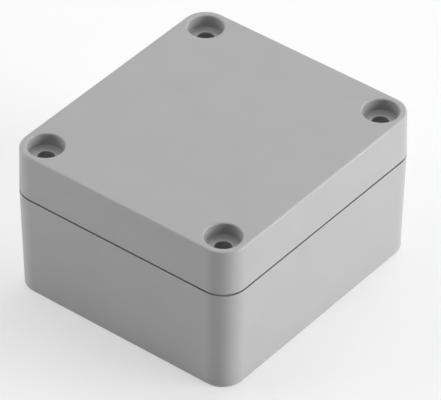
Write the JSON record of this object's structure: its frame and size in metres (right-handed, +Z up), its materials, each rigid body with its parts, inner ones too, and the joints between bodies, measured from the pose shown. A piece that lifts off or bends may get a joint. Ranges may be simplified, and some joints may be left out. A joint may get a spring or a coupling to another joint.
{
  "type": "gasketed enclosure",
  "caption": "Small moulded plastic enclosure with a lift-off lid on a tongue-and-groove gasket seal, corner screw recesses outside the seal and threaded inserts in the base.",
  "frame": {"origin": "middle of the footprint, on the underside", "axes": "+Z up through the lid, +Y along the longer side, +X along the shorter side"},
  "size_m": [0.058, 0.064, 0.036],
  "materials": {
    "shell": "light grey moulded plastic with a fine satin texture",
    "seal": "dark elastic cord",
    "insert": "turned and knurled"
  },
  "bodies": {
    "base": {"base": "shell", "insert_front_left": "insert", "insert_front_right": "insert", "insert_back_left": "insert", "insert_back_right": "insert"},
    "lid": {"lid": "shell", "gasket": "seal"}
  },
  "joints": [
    {"name": "lid_lift", "type": "slide", "parent": "base", "child": "lid", "axis": [0, 0, 1], "range_m": [0, 0.06]}
  ]
}
